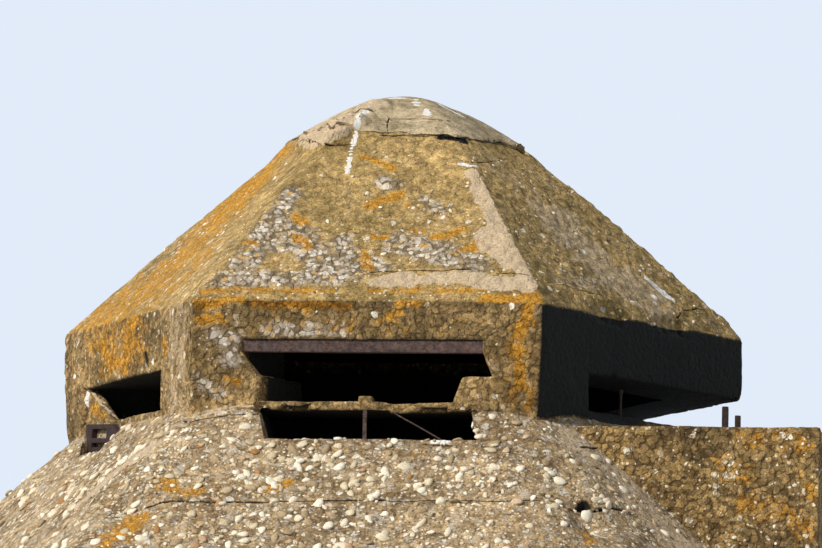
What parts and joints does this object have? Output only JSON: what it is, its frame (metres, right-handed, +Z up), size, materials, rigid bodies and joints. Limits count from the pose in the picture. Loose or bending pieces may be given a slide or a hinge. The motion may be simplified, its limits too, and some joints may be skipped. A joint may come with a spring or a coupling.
{
  "type": "concrete observation post of a martello tower",
  "caption": "Six-sided concrete observation post with sighting slits on five sides, a domed pyramid roof, a sloping apron and a flat-topped side block.",
  "frame": {"origin": "on the chamber's vertical axis, at the foot of the apron", "axes": "+Z up, -Y out through the front slit's face, +X towards the side block"},
  "size_m": [9.926, 8.5962, 5.0721],
  "materials": {
    "apron_concrete": "pebbly cast concrete, weathered, with cream pebbles and lichen",
    "wall_concrete": "rough cast concrete, weathered, with orange lichen",
    "room_concrete": "plain cast concrete",
    "roof_concrete": "smooth to pebbly concrete with grey-white and yellow-orange lichen",
    "cap_mortar": "cracked cement render with pale streaks",
    "block_concrete": "coarse concrete with ochre lichen",
    "rusted_steel": "deeply rusted steel"
  },
  "bodies": {
    "root": {"base_slab": "apron_concrete", "chamber_floor": "room_concrete", "apron_lower_front": "apron_concrete", "apron_lower_front_right": "apron_concrete", "apron_lower_back_right": "apron_concrete", "apron_lower_back": "apron_concrete", "apron_lower_back_left": "apron_concrete", "apron_lower_front_left": "apron_concrete", "apron_upper_front": "apron_concrete", "apron_upper_front_right": "apron_concrete", "apron_upper_back_right": "apron_concrete", "apron_upper_back": "apron_concrete", "apron_upper_back_left": "apron_concrete", "apron_upper_front_left": "apron_concrete", "pillar_front_left": "wall_concrete", "pillar_front_right": "wall_concrete", "pillar_back_right": "wall_concrete", "pillar_back_left": "wall_concrete", "pillar_left": "wall_concrete", "sill_front": "wall_concrete", "sill_front_right": "wall_concrete", "sill_back_right": "wall_concrete", "back_wall": "wall_concrete", "sill_back_left": "wall_concrete", "sill_front_left": "wall_concrete", "hood_front": "wall_concrete", "hood_front_right": "wall_concrete", "hood_back_right": "wall_concrete", "hood_back": "wall_concrete", "hood_back_left": "wall_concrete", "hood_front_left": "wall_concrete", "roof_panel_front": "roof_concrete", "roof_panel_front_right": "roof_concrete", "roof_panel_back_right": "roof_concrete", "roof_panel_back": "roof_concrete", "roof_panel_back_left": "roof_concrete", "roof_panel_front_left": "roof_concrete", "roof_crown": "roof_concrete", "roof_cap": "cap_mortar", "side_block": "block_concrete", "lintel_beam": "rusted_steel", "lower_slit_bars": "rusted_steel", "slit_post": "rusted_steel", "left_frame": "rusted_steel", "stub_posts": "rusted_steel"}
  },
  "joints": []
}
